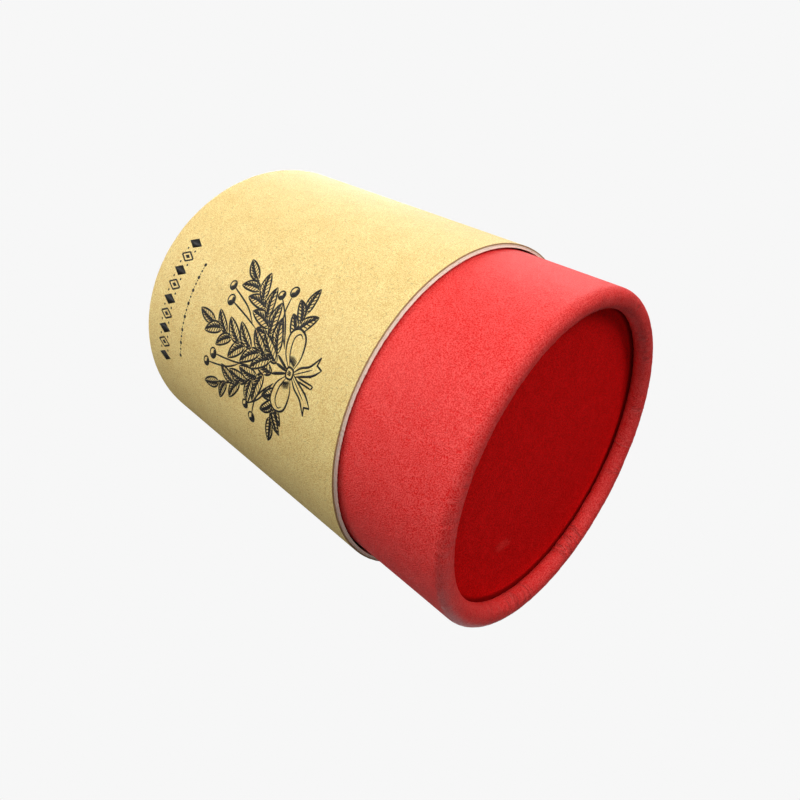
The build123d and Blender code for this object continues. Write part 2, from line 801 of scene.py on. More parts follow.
@dataclass
class Bow:
    """A ribbon tied round the stems: two tails, two loops and the knot."""

    knot: Point
    size: float = 0.95

    def at(self, points: list[Point], side: int = 1) -> list[Point]:
        """Place points given from the knot, mirrored for the left side."""
        return [(self.knot[0] + side * self.size * x, self.knot[1] + self.size * y) for x, y in points]

    def motifs(self) -> list[Motif]:
        """Draw the tails, then the loops over them, then the knot."""
        return [self.tail(side) for side in (1, -1)] + [self.loop(side) for side in (1, -1)] + [self.tie()]

    def tail(self, side: int) -> Motif:
        """Draw one hanging tail with its notched end.

        Args:
            side: 1 for the right tail, -1 for the left one.

        Returns:
            Its lines and outline.
        """
        upper = self.at(even_curve([(0.3, -0.9), (2.4, -2.9), (4.0, -5.6), (6.9, -7.6)]), side)
        lower = self.at(even_curve([(-0.5, -1.0), (0.7, -3.6), (2.3, -7.0), (4.4, -9.2)]), side)
        notch = self.at([(6.9, -7.6), (4.9, -7.4), (4.4, -9.2)], side)
        fold = self.at(even_curve([(0.2, -1.3), (1.9, -4.0), (3.6, -6.6)]), side)
        lines = [Line(upper, OUTLINE_PEN), Line(lower, OUTLINE_PEN), Line(notch, STALK_PEN, PenEnds.BLUNT),
                 Line(fold, FOLD_PEN)]
        return Motif(lines, upper + notch[1:] + lower[::-1])

    def loop(self, side: int) -> Motif:
        """Draw one loop, with fine folds where it enters the knot.

        Args:
            side: 1 for the right loop, -1 for the left one.

        Returns:
            Its lines and outline.
        """
        rim = self.at(even_curve([(0.7, 0.5), (3.8, 3.4), (8.0, 4.3), (9.9, 2.2), (8.6, -0.9), (4.4, -1.9),
                                  (0.8, -0.7)]), side)
        inner = self.at(even_curve([(1.0, 0.25), (4.0, 1.9), (7.4, 2.5), (8.9, 1.3), (8.2, -0.1)]), side)
        lines = [Line(rim, OUTLINE_PEN), Line(inner, 0.22)]
        for k in range(7):
            ends = [(1.5 + 0.12 * k, -0.62 + 0.24 * k), (3.4 + 0.35 * k - 0.05 * k * k, -0.95 + 0.42 * k)]
            lines.append(Line(self.at(ends, side), FOLD_PEN))
        return Motif(lines, rim)

    def tie(self) -> Motif:
        """Draw the knot.

        Returns:
            Its lines and outline.
        """
        corners = [(-1.1, -0.9), (-1.2, 0.7), (0.0, 1.15), (1.2, 0.7), (1.1, -0.9), (0.0, -1.3)]
        rim = self.at(even_curve(corners, closed=True))
        creases = [Line(self.at([(-0.4 + 0.4 * k, 0.7), (-0.3 + 0.3 * k, -0.7)]), 0.18) for k in range(3)]
        return Motif([Line(rim + rim[:2], OUTLINE_PEN, PenEnds.BLUNT)] + creases, rim)


@dataclass
class Posy:
    """A tied posy of five leafy sprigs with berries between them."""

    knot: Point = (0.6, 47.5)

    def place(self, points: list[Point]) -> list[Point]:
        """Place points given from the knot."""
        return [(self.knot[0] + x, self.knot[1] + y) for x, y in points]

    def sprig(self, stem: list[Point], leaves: int, first: float, sizes: Point, seed: int) -> list[Motif]:
        """Draw one sprig whose stem is given from the knot."""
        return Sprig(self.place(stem), leaves, first, sizes[0], sizes[1], seed).motifs()

    def motifs(self) -> list[Motif]:
        """Draw the posy from the back to the front.

        Returns:
            Its motifs in drawing order.
        """
        drawn = [self.cut_stalk(lean, foot) for lean, foot in ((-2.4, -6.4), (2.2, -6.6), (-0.1, -7.6))]
        drawn += self.sprig([(0, 0), (-6, 2.5), (-12, 3.5)], 4, 0.42, (7.0, 6.0), 3)
        drawn += self.sprig([(0, 0), (6, 2.5), (12.5, 3.0)], 4, 0.42, (7.0, 6.0), 4)
        drawn += self.sprig([(0, 0), (-3.6, 8), (-8.6, 15), (-12.6, 24.5)], 8, 0.26, (8.2, 6.4), 5)
        drawn += self.sprig([(0, 0), (3.6, 8), (9.0, 14.5), (14.2, 22.5)], 8, 0.26, (8.2, 6.4), 6)
        for stalk, radius in (
            ([(-2.5, 9), (-5.2, 19), (-6.6, 28.0)], 1.25), ([(-4.8, 17), (-7.6, 22), (-9.6, 30.4)], 1.1),
            ([(2.5, 9), (5.4, 19), (7.2, 27.4)], 1.25), ([(5.0, 17), (7.8, 21), (10.4, 29.2)], 1.1),
            ([(-4.0, 4), (-9.5, 9.0), (-15.4, 10.6)], 1.2), ([(4.0, 4), (9.5, 8.4), (15.8, 9.6)], 1.2),
            ([(-4.0, 4), (-9.5, 8.0), (-13.2, 13.2)], 1.0), ([(4.0, 4), (9.5, 7.6), (13.8, 12.6)], 1.0),
        ):
            drawn.append(Berry(self.place(stalk), radius).motif())
        drawn += self.sprig([(0, 0), (0.4, 9), (-0.6, 20), (0.6, 30)], 10, 0.2, (8.8, 6.6), 7)
        return drawn + Bow(self.knot).motifs()

    def cut_stalk(self, lean: float, foot: float) -> Motif:
        """Draw a stalk's cut end below the knot.

        Args:
            lean: how far its foot lies to the right.
            foot: height of its foot.

        Returns:
            Its lines and outline.
        """
        left, right = (
            self.place(even_curve([(lean * 0.1 + side, -0.5), (lean * 0.6 + side, -3.4), end]))
            for side, end in ((-0.35, (lean - 0.3, foot)), (0.35, (lean + 0.5, foot - 0.3))))
        lines = [Line(left, STALK_PEN), Line(right, STALK_PEN),
                 Line([left[-1], right[-1]], BERRY_PEN, PenEnds.BLUNT)]
        return Motif(lines, left + right[::-1])


@dataclass
class Border:
    """A chain of lozenges and dots, with a beaded rule under it."""

    first: float = -16.4
    last: float = 15.4
    height: float = 99.0
    lozenges: int = 9
    rule_height: float = 90.4
    rule_inset: float = 3.6
    beads: int = 15
    small_bead: float = 0.65
    large_bead: float = 1.0

    def motifs(self) -> list[Motif]:
        """Draw the chain and the rule.

        Returns:
            One motif with all lines.
        """
        pitch = (self.last - self.first) / (self.lozenges - 1)
        lines: list[Line] = []
        for k in range(self.lozenges):
            x = self.first + k * pitch
            lines += self.open(x) if k % 2 else [self.filled(x, 2.9)]
            if k:
                lines += [self.dot(x - pitch / 2, self.height + up, self.small_bead) for up in (1.7, -1.7)]
        ends = (self.first + self.rule_inset, self.last - self.rule_inset)
        step = (ends[1] - ends[0]) / (self.beads - 1)
        for k in range(self.beads):
            x = ends[0] + k * step
            lines.append(self.dot(x, self.rule_height, self.small_bead if k % 2 else self.large_bead))
            if k:
                lines.append(Line([(x - step + 0.6, self.rule_height), (x - 0.6, self.rule_height)], 0.34))
        return [Motif(lines)]

    def filled(self, x: float, half: float) -> Line:
        """Draw a filled lozenge of the given half height."""
        return Line([(x, self.height - half), (x, self.height + half)], half, PenEnds.POINTED)

    def open(self, x: float) -> list[Line]:
        """Draw a lozenge in outline with a small filled one inside.

        Args:
            x: its place across the chain.

        Returns:
            Its lines.
        """
        corners = [(x + across * 1.35, self.height + up * 2.7)
                   for across, up in ((0, -1), (1, 0), (0, 1), (-1, 0))]
        sides = [Line([a, b], 0.48, PenEnds.BLUNT) for a, b in zip(corners, corners[1:] + corners[:1])]
        return sides + [self.filled(x, 1.1)]

    def dot(self, x: float, y: float, width: float) -> Line:
        """Draw a round dot.

        Args:
            x: its place across the chain.
            y: its height.
            width: its width.

        Returns:
            Its line.
        """
        turns, radius = [k * math.tau / 12 for k in range(13)], width / 4
        ring = [(x + radius * math.cos(a), y + radius * math.sin(a)) for a in turns]
        return Line(ring, width / 2, PenEnds.BLUNT)


@dataclass
class Print:
    """The black print on the front of the lid: a thin film of ink that follows the paper."""

    name: str = "front_print"
    paper_radius: float = 41.985
    film: float = 0.015
    press: float = 1.7
    sunk: float = 0.002
    stroke_height: float = 0.05

    def build(self) -> Piece:
        """Draw all lines as one flat curve, make it a mesh, and lay it round the tube.

        Returns:
            The finished mesh object.
        """
        drawing = bpy.data.curves.new(self.name, "CURVE")
        drawing.dimensions = "2D"
        drawing.fill_mode = "NONE"
        drawing.bevel_depth = 0.5
        drawing.bevel_resolution = 0
        drawing.use_fill_caps = True
        for motifs, press in ((Posy().motifs(), self.press), (Border().motifs(), 1.0)):
            for line in visible_lines(motifs):
                self.stroke(drawing, line, press)
        piece = bpy.data.objects.new(self.name, drawing)
        bpy.context.scene.collection.objects.link(piece)
        take_up(piece)
        bpy.ops.object.convert(target="MESH")
        piece = bpy.context.object
        self.lay_round(piece)
        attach(piece, "lid")
        return piece

    def stroke(self, drawing: bpy.types.Curve, line: Line, press: float) -> None:
        """Add one line to the drawing, with its width at each point.

        Args:
            drawing: the curve that holds all lines.
            line: the line.
            press: how far the ink widens the line.
        """
        points = dense(line.points, PITCH)
        spline = drawing.splines.new("POLY")
        spline.points.add(len(points) - 1)
        last = len(points) - 1
        for index, (x, y) in enumerate(points):
            near_end = min(index, last - index) / last
            share = 1.0
            if line.ends is PenEnds.TAPERED:
                share = 0.25 + 0.75 * min(1.0, 4 * near_end) ** 0.6
            elif line.ends is PenEnds.POINTED:
                share = 0.02 + 0.98 * 2 * near_end
            spline.points[index].co = (x, y, 0, 1)
            spline.points[index].radius = line.width * share * press

    def lay_round(self, piece: Piece) -> None:
        """Flatten the lines to the ink's film and wrap them round the tube, in metres.

        Args:
            piece: the drawing's mesh, in millimetres.
        """
        for point in piece.data.vertices:
            angle = -math.pi / 2 + point.co.x / self.paper_radius
            lift = self.film * 0.5 * (1 + max(-1.0, min(1.0, point.co.z / self.stroke_height)))
            radius = (self.paper_radius - self.sunk + lift) * MM
            point.co = (radius * math.cos(angle), radius * math.sin(angle), point.co.y * MM)
        face_outwards(piece, 1e-8)


# Finishes


class Nodes:
    """A shader tree that is built by short calls."""

    def __init__(self, tree: bpy.types.NodeTree) -> None:
        """Start on an empty tree."""
        self.tree = tree
        tree.nodes.clear()

    def add(self, kind: str, inputs: dict[object, object] | None = None, **settings: object) -> Node:
        """Add a node.

        Args:
            kind: Blender's type of the node, without "ShaderNode" before it.
            inputs: for each input, a value or the output that feeds it.
            **settings: the node's own settings.

        Returns:
            The new node.
        """
        node = self.tree.nodes.new(kind if kind.startswith("NodeGroup") else "ShaderNode" + kind)
        for key, value in settings.items():
            setattr(node, key, value)
        for key, value in (inputs or {}).items():
            if isinstance(value, Socket):
                self.tree.links.new(value, node.inputs[key])
            else:
                node.inputs[key].default_value = value
        return node

    def math(self, operation: str, *values: object) -> Socket:
        """Add a math node and return its output."""
        return self.add("Math", dict(enumerate(values)), operation=operation).outputs[0]

    def product(self, first: object, *others: object) -> Socket:
        """Multiply several values.

        Args:
            first: a value or output.
            *others: further values or outputs.

        Returns:
            The product.
        """
        for other in others:
            first = self.math("MULTIPLY", first, other)
        return first

    def vector(self, operation: str, *values: object, output: str = "Vector") -> Socket:
        """Add a vector math node and return one of its outputs."""
        return self.add("VectorMath", dict(enumerate(values)), operation=operation).outputs[output]

    def split(self, vector: Socket) -> list[Socket]:
        """Return a vector's three parts."""
        return list(self.add("SeparateXYZ", {0: vector}).outputs)

    def moved(self, place: Socket, shift: Point = (0.0, 0.0), scale: Place = (1.0, 1.0, 1.0)) -> Socket:
        """Stretch a place and move it across, and return it."""
        return self.add("Mapping", {"Vector": place, "Location": (*shift, 0.0), "Scale": scale}).outputs[0]

    def noise(self, place: Socket, scale: object, detail: float, roughness: float = 0.5,
              **settings: object) -> Node:
        """Add a noise texture and return its node."""
        return self.add("TexNoise", {"Vector": place, "Scale": scale, "Detail": detail,
                                     "Roughness": roughness}, **settings)

    def blend(self, share: object, low: object, high: object) -> Socket:
        """Mix two colours by a share and return the colour.

        Args:
            share: how much of the second colour shows.
            low: the first colour, plain or an output.
            high: the second colour, plain or an output.

        Returns:
            The mixed colour.
        """
        low, high = (c if isinstance(c, Socket) else (*c, 1) for c in (low, high))
        return self.add("Mix", {0: share, 6: low, 7: high}, data_type="RGBA", blend_type="MIX").outputs[2]

    def remap(self, value: object, low: float, high: float, to_low: float = 0.0,
              to_high: float = 1.0) -> Socket:
        """Map a range of values smoothly to another range, and return the result."""
        return self.add("MapRange", {0: value, 1: low, 2: high, 3: to_low, 4: to_high},
                        interpolation_type="SMOOTHSTEP").outputs[0]

    def place(self) -> Socket:
        """Return the place on the object in millimetres."""
        return self.moved(self.add("TexCoord").outputs["Object"], scale=(1 / MM,) * 3)

    def far(self, vector: Socket) -> Socket:
        """Return a vector's length."""
        return self.vector("LENGTH", vector, output="Value")

    def paint(self, colour: Socket, rough: Socket, height: Socket, bump: float, depth: float,
              gloss: float) -> None:
        """Finish the tree with a bumped paper or ink surface.

        Args:
            colour: its colour.
            rough: its roughness.
            height: its relief.
            bump: strength of the relief.
            depth: depth of the relief, in millimetres.
            gloss: level of its shine.
        """
        relief = self.add("Bump", {"Height": height, "Strength": bump, "Distance": depth * MM})
        shader = self.add("BsdfPrincipled", {"Base Color": colour, "Roughness": rough,
                                             "Normal": relief.outputs[0], "Specular IOR Level": gloss})
        self.add("OutputMaterial", {"Surface": shader.outputs[0]})


def new_material(name: str) -> tuple[bpy.types.Material, Nodes]:
    """Make a material.

    Args:
        name: its name.

    Returns:
        The material and its empty tree.
    """
    made = bpy.data.materials.new(name)
    made.use_nodes = True
    return made, Nodes(made.node_tree)


class PaperGroup:
    """A node group that the finishes share.

    An input without a default takes a place, and every other socket a number.
    """

    name: str
    inputs: dict[str, float | None]
    outputs: tuple[str, ...]

    def tree(self) -> bpy.types.NodeTree:
        """Make the group on first use.

        Returns:
            The node group.
        """
        if self.name not in bpy.data.node_groups:
            tree = bpy.data.node_groups.new(self.name, "ShaderNodeTree")
            for label, value in self.inputs.items():
                kind = "NodeSocketVector" if value is None else "NodeSocketFloat"
                socket = tree.interface.new_socket(label, in_out="INPUT", socket_type=kind)
                if value is not None:
                    socket.default_value = value
            for label in self.outputs:
                tree.interface.new_socket(label, in_out="OUTPUT", socket_type="NodeSocketFloat")
            nodes = Nodes(tree)
            drawn = self.draw(nodes, nodes.add("NodeGroupInput").outputs)
            nodes.add("NodeGroupOutput", dict(zip(self.outputs, drawn)))
        return bpy.data.node_groups[self.name]

    def use(self, nodes: Nodes, **inputs: object) -> Sockets:
        """Add the group to a tree and return its outputs; a space in a label is given as an underscore."""
        given = {label.replace("_", " "): value for label, value in inputs.items()}
        return nodes.add("Group", given, node_tree=self.tree()).outputs

    def draw(self, nodes: Nodes, given: Sockets) -> tuple[Socket, ...]:
        """Draw the group.

        Args:
            nodes: the group's tree.
            given: its inputs.

        Returns:
            One socket for each of its outputs.
        """
        raise NotImplementedError


class FibreGroup(PaperGroup):
    """Short loose fibres scattered over a sheet, each lying its own way and slightly bowed."""

    name = "loose_fibres"
    inputs = {"Sheet": None, "Cell": 1.0, "Length": 0.8, "Width": 0.1, "Share": 0.5}
    outputs = ("Mask",)
    bow = 0.5
    faintest = 0.4

    def draw(self, nodes: Nodes, given: Sockets) -> tuple[Socket, ...]:
        """Turn the place about each cell's middle, and mark a bowed band there.

        Args:
            nodes: the group's tree.
            given: the group's inputs.

        Returns:
            The mask of the fibres.
        """
        density = nodes.math("DIVIDE", 1.0, given["Cell"])
        cells = nodes.add("TexVoronoi", {"Vector": given["Sheet"], "Scale": density, "Randomness": 1.0},
                          voronoi_dimensions="2D").outputs
        chance = nodes.add("SeparateColor", {0: cells["Color"]}).outputs
        offset = nodes.vector("SUBTRACT", given["Sheet"], cells["Position"])
        turned = nodes.add("VectorRotate", {"Vector": offset, "Angle": nodes.product(chance[0], math.tau)},
                           rotation_type="Z_AXIS")
        along, across, _ = nodes.split(turned.outputs[0])
        along = nodes.math("ABSOLUTE", along)
        bowed = nodes.math("SUBTRACT", across, nodes.product(nodes.math("POWER", along, 2.0), self.bow))
        far = nodes.math("DIVIDE", along, given["Length"])
        off = nodes.math("DIVIDE", nodes.math("ABSOLUTE", bowed), given["Width"])
        kept = nodes.math("LESS_THAN", chance[1], given["Share"])
        strength = nodes.math("MULTIPLY_ADD", chance[2], 1 - self.faintest, self.faintest)
        return (nodes.product(nodes.remap(far, 0.5, 0.35), nodes.remap(off, 1.0, 0.4), kept, strength),)


class GrainGroup(PaperGroup):
    """The felt of a paper's face: fine grain, soft clouds and the height of both with the fibres on them."""

    name = "paper_grain"
    inputs = {"Place": None, "Grain Size": 0.4, "Cloud Size": 3.0, "Fibres": 0.0}
    outputs = ("Grain", "Clouds", "Height")
    cloud_height = 0.35
    fibre_height = 0.8

    def draw(self, nodes: Nodes, given: Sockets) -> tuple[Socket, ...]:
        """Lay fine noise on soft noise.

        Args:
            nodes: the group's tree.
            given: the group's inputs.

        Returns:
            The grain, the clouds and the height.
        """
        fine, soft = (
            nodes.noise(given["Place"], nodes.math("DIVIDE", 1.0, given[size]), detail, roughness).outputs[0]
            for size, detail, roughness in (("Grain Size", 2.0, 0.6), ("Cloud Size", 4.0, 0.55)))
        grain = nodes.remap(fine, 0.38, 0.62)
        clouds = nodes.remap(soft, 0.3, 0.7)
        height = nodes.math("MULTIPLY_ADD", clouds, self.cloud_height, grain)
        return grain, clouds, nodes.math("MULTIPLY_ADD", given["Fibres"], self.fibre_height, height)


class CutEdgeGroup(PaperGroup):
    """Bared fibres along a sheet's cut mouth and, more faintly, along the lap's edge; on the kraft the dark
    band at the mouth is partly painted shade.
    """

    name = "cut_edge"
    inputs = {"Sheet": None, "Grain": 0.5, "Width": 0.3, "Lap": 131.9}
    outputs = ("Mask",)
    lap_share = 0.3

    def draw(self, nodes: Nodes, given: Sockets) -> tuple[Socket, ...]:
        """Mark a band along each edge, wider where the grain is pale.

        Args:
            nodes: the group's tree.
            given: the group's inputs.

        Returns:
            The mask of the bared fibres.
        """
        across, along, _ = nodes.split(given["Sheet"])
        reach = nodes.product(given["Width"], nodes.math("MULTIPLY_ADD", given["Grain"], 1.2, 0.4))
        mouth = nodes.math("DIVIDE", along, reach)
        lap = nodes.math("DIVIDE", nodes.math("SUBTRACT", given["Lap"], across), reach)
        return (nodes.math("MAXIMUM", nodes.remap(mouth, 1.2, 0.5),
                           nodes.remap(lap, 1.2, 0.5, 0.0, self.lap_share)),)


class WrinkleGroup(PaperGroup):
    """Fine wrinkles that the rolling leaves across a rim's bead: 1 on smooth paper, and less in a wrinkle."""

    name = "rim_wrinkles"
    inputs = {"Sheet": None, "Start": 80.0, "Length": 3.0, "Side": 1.0}
    outputs = ("Height",)
    sway = 1.6
    stretch = 0.1
    patch_sizes = (0.11, 0.05, 1.0)

    def draw(self, nodes: Nodes, given: Sockets) -> tuple[Socket, ...]:
        """Sway and stretch a noise, and keep its thin ridges where a second noise and the roll allow.

        Args:
            nodes: the group's tree.
            given: the group's inputs.

        Returns:
            The height.
        """
        stretched = nodes.moved(given["Sheet"], scale=(1.0, self.stretch, 1.0))
        bent = nodes.noise(given["Sheet"], 0.35, 1.0).outputs["Color"]
        swayed = nodes.vector("MULTIPLY_ADD", bent, (self.sway, 0.0, 0.0), stretched)
        folds = nodes.noise(swayed, 0.8, 1.0, 0.6, noise_dimensions="2D").outputs[0]
        ridge = nodes.math("ABSOLUTE", nodes.math("SUBTRACT", folds, 0.5))
        wide = nodes.moved(given["Sheet"], scale=self.patch_sizes)
        spread = nodes.noise(wide, 1.0, 1.0, noise_dimensions="2D").outputs[0]
        along = nodes.math("SUBTRACT", nodes.split(given["Sheet"])[1], given["Start"])
        rolled = nodes.remap(nodes.math("DIVIDE", along, given["Length"]), 0.0, 1.0)
        patches = nodes.product(nodes.remap(spread, 0.4, 0.52), rolled, given["Side"])
        depth = nodes.math("SUBTRACT", 1.0, nodes.remap(ridge, 0.0, 0.05))
        return (nodes.math("SUBTRACT", 1.0, nodes.product(depth, patches)),)


class Mapping(Enum):
    """Where a finish reads its place on a piece."""

    SHEET = "sheet"
    OBJECT = "object"


@dataclass(frozen=True)
class FibreLayer:
    """One layer of fibres: its shift, their mean distance, half their width, and the share that is there."""

    shift: Point
    cell: float
    width: float
    share: float


@dataclass(frozen=True)
class PaperFinish:
    """A paper or board: its colours, the size of its grain, the fibres in it, the marks of use and a painted
    shade that darkens a disc towards its rim.
    """

    name: str
    colour: Colour
    shade: Colour
    fleck: Colour
    pale: Colour
    edge: Colour
    mapping: Mapping = Mapping.SHEET
    grain_size: float = 0.4
    cloud_size: float = 4.0
    grain_share: float = 0.5
    fleck_share: float = 0.4
    fleck_strength: float = 0.5
    pale_strength: float = 0.3
    fibre_length: float = 1.1
    roughness: Point = (0.66, 0.84)
    bump: float = 0.25
    bump_depth: float = 0.04
    gloss: float = 0.25
    edge_width: float = 0.0
    lap: float = 1000.0
    roll_start: float = 0.0
    roll_length: float = 4.5
    wrinkle_height: float = 6.0
    wrinkle_wear: float = 0.3
    wrinkle_front: float = -22.0
    wrinkle_back: float = 8.0
    front_wrinkles: float = 0.12
    scuff: Point | None = None
    # Painted shade: from this radius outwards a disc's colour darkens, where the bead's rim would shade it.
    painted_rim_shade_from: float = 0.0
    painted_rim_shade_width: float = 1.2
    painted_rim_shade_strength: float = 0.7
    painted_rim_shade_colour: Colour = (0.10, 0.001, 0.001)

    def material(self) -> bpy.types.Material:
        """Build the material.

        Returns:
            The finished material.
        """
        made, nodes = new_material(self.name)
        place = nodes.place()
        sheet = nodes.add("UVMap", uv_map="sheet").outputs[0] if self.mapping is Mapping.SHEET else place
        dark, long, pale = (self.fibres(nodes, sheet, layer) for layer in (
            FibreLayer((0.0, 0.0), 1.3, 0.085, self.fleck_share),
            FibreLayer((31.7, 12.3), 2.9, 0.11, self.fleck_share * 0.7),
            FibreLayer((7.9, 55.1), 1.1, 0.07, 0.55)))
        grain = GrainGroup().use(nodes, Place=place, Grain_Size=self.grain_size, Cloud_Size=self.cloud_size,
                                 Fibres=pale)
        colour = self.colour_of(nodes, grain, nodes.math("MAXIMUM", dark, long), pale, sheet)
        height = grain["Height"]
        if self.roll_start:
            smooth = self.smooth_rim(nodes, place, sheet)
            height = nodes.math("MULTIPLY_ADD", smooth, self.wrinkle_height, height)
            worn = nodes.product(nodes.math("SUBTRACT", 1.0, smooth), self.wrinkle_wear)
            colour = nodes.blend(worn, colour, self.pale)
        if self.scuff:
            colour = nodes.blend(self.scuff_mask(nodes, place, grain["Grain"]), colour, self.pale)
        # Painted shade: darken the colour towards the disc's rim, in place of the bead's shadow.
        if self.painted_rim_shade_from:
            out = nodes.far(nodes.vector("MULTIPLY", place, (1.0, 1.0, 0.0)))
            deep = nodes.remap(out, self.painted_rim_shade_from, self.painted_rim_shade_from + self.painted_rim_shade_width, 0.0, self.painted_rim_shade_strength)
            colour = nodes.blend(deep, colour, self.painted_rim_shade_colour)
        nodes.paint(colour, nodes.remap(grain["Grain"], 0.0, 1.0, *self.roughness), height, self.bump,
                    self.bump_depth, self.gloss)
        return made

    def smooth_rim(self, nodes: Nodes, place: Socket, sheet: Socket) -> Socket:
        """Wrinkle the rim, more strongly towards the back.

        Args:
            nodes: the material's tree.
            place: place on the object.
            sheet: place on the sheet.

        Returns:
            1 where the rim is smooth, and less in a wrinkle.
        """
        side = nodes.remap(nodes.split(place)[1], self.wrinkle_front, self.wrinkle_back,
                           self.front_wrinkles, 1.0)
        return WrinkleGroup().use(nodes, Start=self.roll_start, Length=self.roll_length, Sheet=sheet,
                                  Side=side)["Height"]

    def scuff_mask(self, nodes: Nodes, place: Socket, grain: Socket) -> Socket:
        """Rub a small spot with broken edges.

        Args:
            nodes: the material's tree.
            place: place on the object.
            grain: the paper's grain.

        Returns:
            The mask of the spot.
        """
        near = nodes.moved(place, (-self.scuff[0], -self.scuff[1]))
        far = nodes.far(nodes.vector("MULTIPLY", near, (0.75, 0.38, 0.0)))
        broken = nodes.noise(place, 1.1, 3.0, 0.7).outputs[0]
        spot = nodes.remap(nodes.math("MULTIPLY_ADD", broken, -2.2, far), 0.25, -0.5)
        return nodes.product(spot, nodes.math("MULTIPLY_ADD", grain, 0.7, 0.3))

    def fibres(self, nodes: Nodes, sheet: Socket, layer: FibreLayer) -> Socket:
        """Scatter one layer of fibres over the sheet and return its mask."""
        return FibreGroup().use(nodes, Sheet=nodes.moved(sheet, layer.shift), Cell=layer.cell,
                                Length=self.fibre_length, Width=layer.width, Share=layer.share)["Mask"]

    def colour_of(self, nodes: Nodes, grain: Sockets, flecks: Socket, pale: Socket, sheet: Socket) -> Socket:
        """Mix the paper's colour from its grain, clouds, flecks and cut edges.

        Args:
            nodes: the material's tree.
            grain: the grain group's outputs.
            flecks: mask of the dark fibres.
            pale: mask of the pale fibres.
            sheet: place on the sheet.

        Returns:
            The colour.
        """
        tone = nodes.math("MULTIPLY_ADD", grain["Clouds"], 1 - self.grain_share,
                          nodes.product(grain["Grain"], self.grain_share))
        colour = nodes.blend(tone, self.shade, self.colour)
        colour = nodes.blend(nodes.product(pale, self.pale_strength), colour, self.pale)
        colour = nodes.blend(nodes.product(flecks, self.fleck_strength), colour, self.fleck)
        if self.edge_width:
            cut = CutEdgeGroup().use(nodes, Sheet=sheet, Grain=grain["Grain"], Width=self.edge_width,
                                     Lap=self.lap)
            colour = nodes.blend(cut["Mask"], colour, self.edge)
        return colour


# The kraft's dark brown edge colour along the cut mouth is partly the cut's own brown and partly painted
# shade at the mouth.
KRAFT = PaperFinish(
    "kraft_paper", colour=(1.0, 0.83, 0.36), shade=(0.74, 0.46, 0.13), fleck=(0.30, 0.185, 0.06),
    pale=(0.97, 0.79, 0.42), edge=(0.40, 0.24, 0.11), grain_size=0.23, cloud_size=5.0, grain_share=0.85,
    fleck_share=0.45, fleck_strength=0.6, fibre_length=0.9, roughness=(0.48, 0.64), bump=1.0,
    bump_depth=0.055, gloss=0.38, edge_width=0.12, lap=131.7, roll_start=79.0)
KRAFT_DISC = replace(KRAFT, name="kraft_disc_paper", mapping=Mapping.OBJECT, grain_share=0.7, edge_width=0.0,
                     roll_start=0.0)
RED = PaperFinish(
    "red_paper", colour=(0.99, 0.098, 0.088), shade=(0.78, 0.001, 0.001), fleck=(0.36, 0.008, 0.008),
    pale=(0.96, 0.17, 0.15), edge=(0.66, 0.3, 0.26), grain_size=0.25, cloud_size=2.6, grain_share=0.85,
    fleck_share=0.3, fleck_strength=0.3, fibre_length=0.8, roughness=(0.46, 0.6), bump=1.0, bump_depth=0.07,
    gloss=0.26, edge_width=0.12, lap=127.1, roll_start=99.5)
# The end disc's red is the wall's red paper made deeper, with less green and blue: a painted-shade copy of
# the same paper. It also holds a real scuff and the painted shade at its rim.
RED_DISC_PAINTED_SHADE = replace(
    RED, name="red_disc_paper_painted_shade", colour=(0.96, 0.010, 0.011), shade=(0.60, 0.001, 0.001),
    fleck=(0.42, 0.002, 0.003), pale=(0.92, 0.035, 0.03), mapping=Mapping.OBJECT, pale_strength=0.25,
    roughness=(0.66, 0.84), bump_depth=0.06, gloss=0.04, edge_width=0.0, roll_start=0.0, scuff=(-22.1, -5.8),
    painted_rim_shade_from=35.0)
BOARD = PaperFinish(
    "tube_board", colour=(0.98, 0.86, 0.73), shade=(0.86, 0.71, 0.57), fleck=(0.40, 0.31, 0.22),
    pale=(0.96, 0.9, 0.82), edge=(0.86, 0.78, 0.67), mapping=Mapping.OBJECT, grain_size=0.18, cloud_size=1.4,
    grain_share=0.6, fleck_strength=0.35, pale_strength=0.4, fibre_length=0.5, roughness=(0.8, 0.92),
    bump=0.5)
# A brown board for the outer ply: its dark cut at the mouth is partly the board's own brown and partly
# painted shade between the wrap and the cream inner ply.
KRAFT_BOARD_AND_SHADE = replace(
    BOARD, name="kraft_board_and_painted_shade", colour=(0.62, 0.42, 0.23), shade=(0.42, 0.27, 0.14), fleck=(0.22, 0.13, 0.06),
    pale=(0.78, 0.6, 0.38), edge=(0.5, 0.33, 0.18), grain_size=0.2, cloud_size=1.6, fibre_length=0.6)
LINING = PaperFinish(
    "lining_paper", colour=(0.83, 0.77, 0.65), shade=(0.74, 0.675, 0.55), fleck=(0.45, 0.37, 0.26),
    pale=(0.93, 0.9, 0.82), edge=(1.0, 0.86, 0.72), grain_size=0.45, cloud_size=6.0, fleck_share=0.22,
    fleck_strength=0.3, fibre_length=1.2, roughness=(0.7, 0.86), edge_width=0.3)
LINING_DISC = replace(LINING, name="lining_disc_paper", mapping=Mapping.OBJECT, edge_width=0.0)


